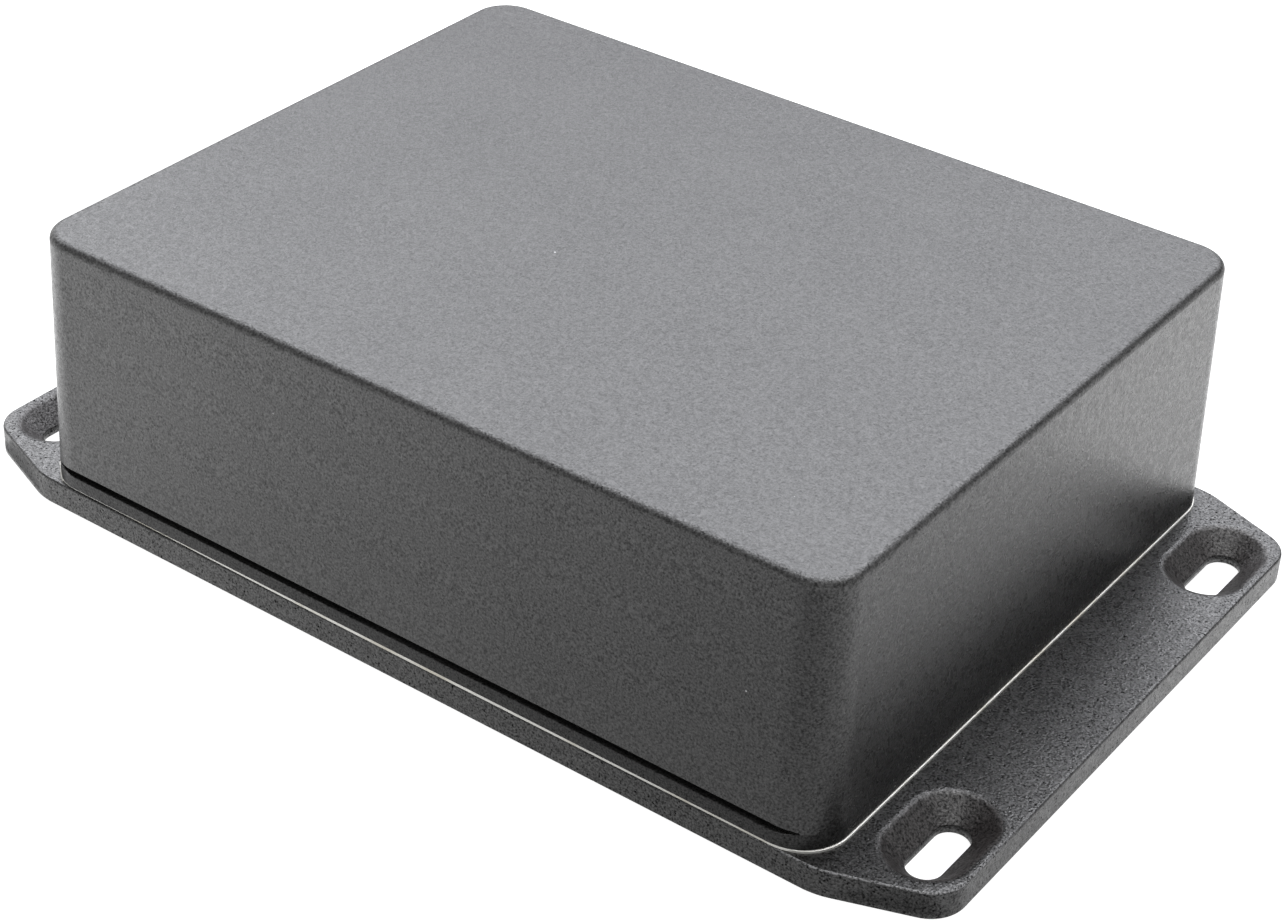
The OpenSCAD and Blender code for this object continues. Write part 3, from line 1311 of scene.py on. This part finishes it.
@dataclass(frozen=True)
class Studio:
    """Pale floor, white surroundings and soft lamps."""

    floor_size: float = 6.0
    floor_drop: float = 0.05 * MM
    floor_colour: Colour = (0.44, 0.44, 0.44)
    floor_seen: float = 0.85
    gloss_share: float = 0.5
    gloss_level: Span = (0.2, 3.0)
    gloss_shade_reach: Span = (0.0, 0.187)
    gloss_shade_centre: Place = (0.076, -0.106, 0.0)
    painted_shadow_half: Point = (74 * MM, 47.1 * MM)
    painted_shadow_level: float = 0.3
    touch: float = 1 * MM
    surround: float = 0.032
    panels: tuple[Panel, ...] = field(default_factory=lambda: (
        Panel("back_panel", (-0.40, 0.65, 1.05), 1.6, 33.0, (0.945, 0.955, 1.0)),
        Panel("top_panel", (0.20, -0.02, 1.20), 1.3, 10.5),
        Panel("left_panel", (-1.00, 0.25, 0.40), 0.8, 3.2),
        Panel("right_panel", (1.10, 0.80, 0.50), 1.2, 1.8),
        Panel("front_panel", (-0.85, -0.55, 0.20), 0.5, 1.2),
        Panel("fill_panel", (0.62, -0.88, 0.55), 1.1, 2.4),
    ))

    def make(self) -> None:
        """Adds the floor, the surroundings and the lamps."""
        self.make_floor()
        self.make_world()
        for panel in self.panels:
            panel.make()
            LOG.info("lamp %s", panel.name)
        bpy.context.scene.view_settings.view_transform = "Standard"

    def make_floor(self) -> None:
        """Adds the floor, a hair below the lid's underside."""
        bm = bmesh.new()
        bmesh.ops.create_grid(bm, x_segments=1, y_segments=1, size=self.floor_size / 2)
        bmesh.ops.translate(bm, vec=(0, 0, -self.floor_drop), verts=bm.verts)
        floor = object_from(bm, "floor")
        floor.data.materials.append(self.floor_material())

    def floor_material(self) -> Material:
        """Pale surface that looks white to the camera, takes the shadow, is clear from below and shows painted
        shade in gloss.

        Returns:
            The material.
        """
        sheet = NodeSheet("pale_floor")
        path = sheet.node("ShaderNodeLightPath").outputs
        seen = sheet.math("MAXIMUM", path["Is Camera Ray"], path["Is Transmission Ray"])
        lift = sheet.glow(sheet.math("MULTIPLY", seen, self.floor_seen))
        matte = sheet.node("ShaderNodeBsdfDiffuse", {"Color": (*self.floor_colour, 1.0)}).outputs["BSDF"]
        direct = sheet.node("ShaderNodeAddShader", {0: matte, 1: lift}).outputs["Shader"]
        # Painted shade: the floor's glow in gloss is dimmest near this point in front of the object and grows
        # away from it.
        level = sheet.span(sheet.distance(self.gloss_shade_centre), self.gloss_shade_reach, self.gloss_level)
        mirrored = sheet.glow(sheet.math("MULTIPLY", level, self.outside_painted_shadow(sheet, path["Ray Length"])))
        share = sheet.math("MULTIPLY", path["Is Glossy Ray"], self.gloss_share)
        above = sheet.blend(share, direct, mirrored)
        clear = sheet.node("ShaderNodeBsdfTransparent").outputs["BSDF"]
        below = sheet.node("ShaderNodeNewGeometry").outputs["Backfacing"]
        sheet.node("ShaderNodeOutputMaterial", {"Surface": sheet.blend(below, above, clear)})
        return sheet.material

    def outside_painted_shadow(self, sheet: NodeSheet, ray_length: NodeSocket) -> NodeSocket:
        """Mask that paints the object's shadow into the floor's glow in gloss, low where the object covers the
        floor, so that little light shows through its slots.

        Args:
            sheet: Sheet of the floor.
            ray_length: Length of the ray, which is next to nothing from the face that lies on the floor.

        Returns:
            The mask's socket.
        """
        spot = sheet.node("ShaderNodeSeparateXYZ", {"Vector": sheet.place}).outputs
        mask = sheet.math("MAXIMUM", sheet.math("LESS_THAN", ray_length, self.touch), self.painted_shadow_level)
        for axis, half in zip("XY", self.painted_shadow_half):
            square = sheet.math("MULTIPLY", spot[axis], spot[axis])
            mask = sheet.math("MAXIMUM", mask, sheet.math("GREATER_THAN", square, half ** 2))
        return mask

    def make_world(self) -> None:
        """Even surroundings that look white to the camera."""
        world = bpy.data.worlds.new("studio")
        bpy.context.scene.world = world
        world.use_nodes = True
        tree = world.node_tree
        tree.nodes.clear()
        path = tree.nodes.new("ShaderNodeLightPath")
        level = tree.nodes.new("ShaderNodeMapRange")
        level.inputs["To Min"].default_value = self.surround
        level.inputs["To Max"].default_value = 1.0
        background = tree.nodes.new("ShaderNodeBackground")
        background.inputs["Color"].default_value = (1.0, 1.0, 1.0, 1.0)
        output = tree.nodes.new("ShaderNodeOutputWorld")
        tree.links.new(path.outputs["Is Camera Ray"], level.inputs["Value"])
        tree.links.new(level.outputs["Result"], background.inputs["Strength"])
        tree.links.new(background.outputs["Background"], output.inputs["Surface"])


def main() -> None:
    """Builds the camera, the pieces and the studio in order."""
    logging.basicConfig(level=logging.INFO, format="%(name)s: %(message)s")
    PhotoCamera().make()
    for piece in (BoxCasting(), FlangedLid(), RimSeal(), LidScrews()):
        made = piece.make()
        LOG.info("%s: %d faces", made.name, len(made.data.polygons))
    Studio().make()


if __name__ == "__main__":
    main()
